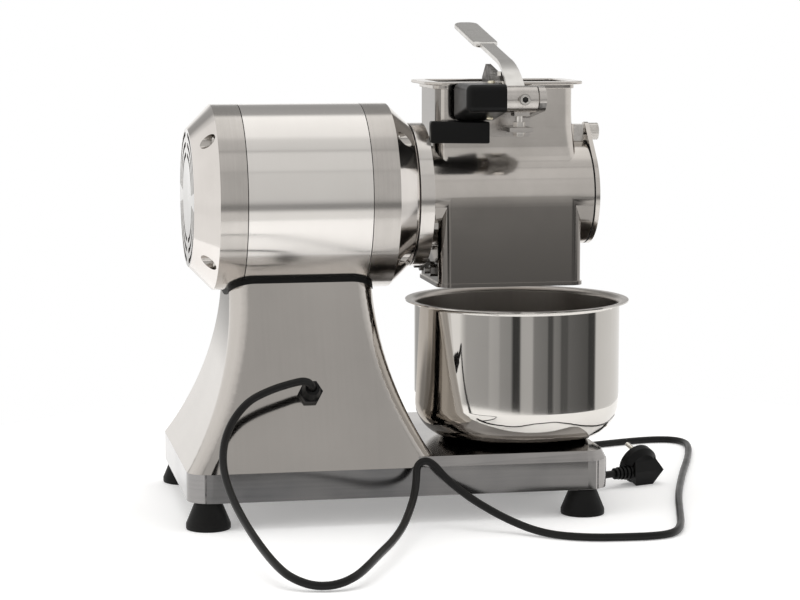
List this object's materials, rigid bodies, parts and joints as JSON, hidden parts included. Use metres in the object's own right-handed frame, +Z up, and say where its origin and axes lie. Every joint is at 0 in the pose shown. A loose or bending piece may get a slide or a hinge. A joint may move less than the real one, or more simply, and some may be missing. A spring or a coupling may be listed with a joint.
{
  "type": "electric grater",
  "caption": "Table-top electric grater: motor on a flared pedestal turns a grating drum under a square hopper; a hinged lever presses food down and a bowl catches it.",
  "frame": {"origin": "on the standing surface, under the middle of the machine's bounding box without cord and plug", "axes": "+Z up; +X along the drive shaft from the motor towards the lid; +Y towards the operator, the way the lever's grip points"},
  "size_m": [0.5597, 0.5889, 0.444],
  "materials": {
    "satin_steel": "satin brushed stainless sheet and castings",
    "polished_steel": "bright polished stainless",
    "steel_fixings": "bright turned fixings",
    "plain_steel": "plain machined steel",
    "cast_metal": "rough casting",
    "laminated_iron": "stacked laminations",
    "copper_wire": "varnished copper wire",
    "black_rubber": "dull black rubber",
    "black_plastic": "fine textured black plastic",
    "pale_plastic": "plain pale plastic",
    "green_plastic": "gloss green plastic",
    "red_plastic": "gloss red plastic",
    "pin_metal": "nickelled brass"
  },
  "bodies": {
    "machine": {"base_shell": "satin_steel", "pedestal": "satin_steel", "rear_cover": "satin_steel", "front_cover": "satin_steel", "casing_flange": "satin_steel", "grater_casing": "satin_steel", "hopper_rim": "satin_steel", "hinge_bracket": "satin_steel", "switch_plate": "satin_steel", "motor_sleeve": "polished_steel", "outlet_guard": "polished_steel", "foot_screws": "steel_fixings", "foot_nuts": "steel_fixings", "saddle_bolts": "steel_fixings", "rear_cover_screws": "steel_fixings", "front_cover_screws": "steel_fixings", "flange_bolts": "steel_fixings", "guard_bolts": "steel_fixings", "lid_stud": "steel_fixings", "stop_screw": "steel_fixings", "stop_nut": "steel_fixings", "bottom_plate": "plain_steel", "rear_bearing": "plain_steel", "front_bearing": "plain_steel", "rear_shield": "cast_metal", "stator_core": "laminated_iron", "stator_windings": "copper_wire", "rubber_feet": "black_rubber", "saddle_mat": "black_rubber", "shaft_seal": "black_rubber", "power_cord": "black_rubber", "switch_box": "black_plastic", "wiring_duct": "black_plastic", "switch_block": "black_plastic", "cable_gland": "black_plastic", "gland_nut": "black_plastic", "plug_body": "black_plastic", "microswitch": "black_plastic", "run_capacitor": "pale_plastic", "terminal_block": "pale_plastic", "plug_pins": "pin_metal"},
    "drive": {"rotor": "laminated_iron", "drive_shaft": "plain_steel", "cooling_fan": "black_plastic", "grating_drum": "plain_steel", "drum_key": "steel_fixings", "drum_nut": "steel_fixings"},
    "lever": {"lever_hub": "satin_steel", "hub_screw": "steel_fixings", "lever_arm": "satin_steel", "presser": "cast_metal", "presser_bolts": "steel_fixings", "hinge_shaft": "polished_steel", "switch_cam": "plain_steel"},
    "lid": {"lid": "satin_steel", "lid_gasket": "black_rubber"},
    "lid_knob": {"lid_knob": "steel_fixings"},
    "bowl": {"bowl": "polished_steel"},
    "start_button": {"start_button": "green_plastic"},
    "stop_button": {"stop_button": "red_plastic"}
  },
  "joints": [
    {"name": "drive_spin", "type": "hinge", "parent": "machine", "child": "drive", "pos_m": [0.09602, -0.00082, 0.286], "axis": [1, 0, 0], "continuous": true},
    {"name": "lever_lift", "type": "hinge", "parent": "machine", "child": "lever", "pos_m": [0.09392, -0.08882, 0.3775], "axis": [1, 0, 0], "range_deg": [0, 95]},
    {"name": "lid_off", "type": "slide", "parent": "machine", "child": "lid", "axis": [1, 0, 0], "range_m": [0, 0.12]},
    {"name": "knob_turn", "type": "hinge", "parent": "lid", "child": "lid_knob", "pos_m": [0.18502, -0.00082, 0.343], "axis": [1, 0, 0], "continuous": true},
    {"name": "bowl_out", "type": "slide", "parent": "machine", "child": "bowl", "axis": [0, 1, 0], "range_m": [0, 0.24]},
    {"name": "start_press", "type": "slide", "parent": "machine", "child": "start_button", "axis": [0, -0.9101, -0.4143], "range_m": [0, 0.004], "stiffness_N_per_m": 400},
    {"name": "stop_press", "type": "slide", "parent": "machine", "child": "stop_button", "axis": [0, -0.9101, -0.4143], "range_m": [0, 0.004], "stiffness_N_per_m": 400}
  ]
}
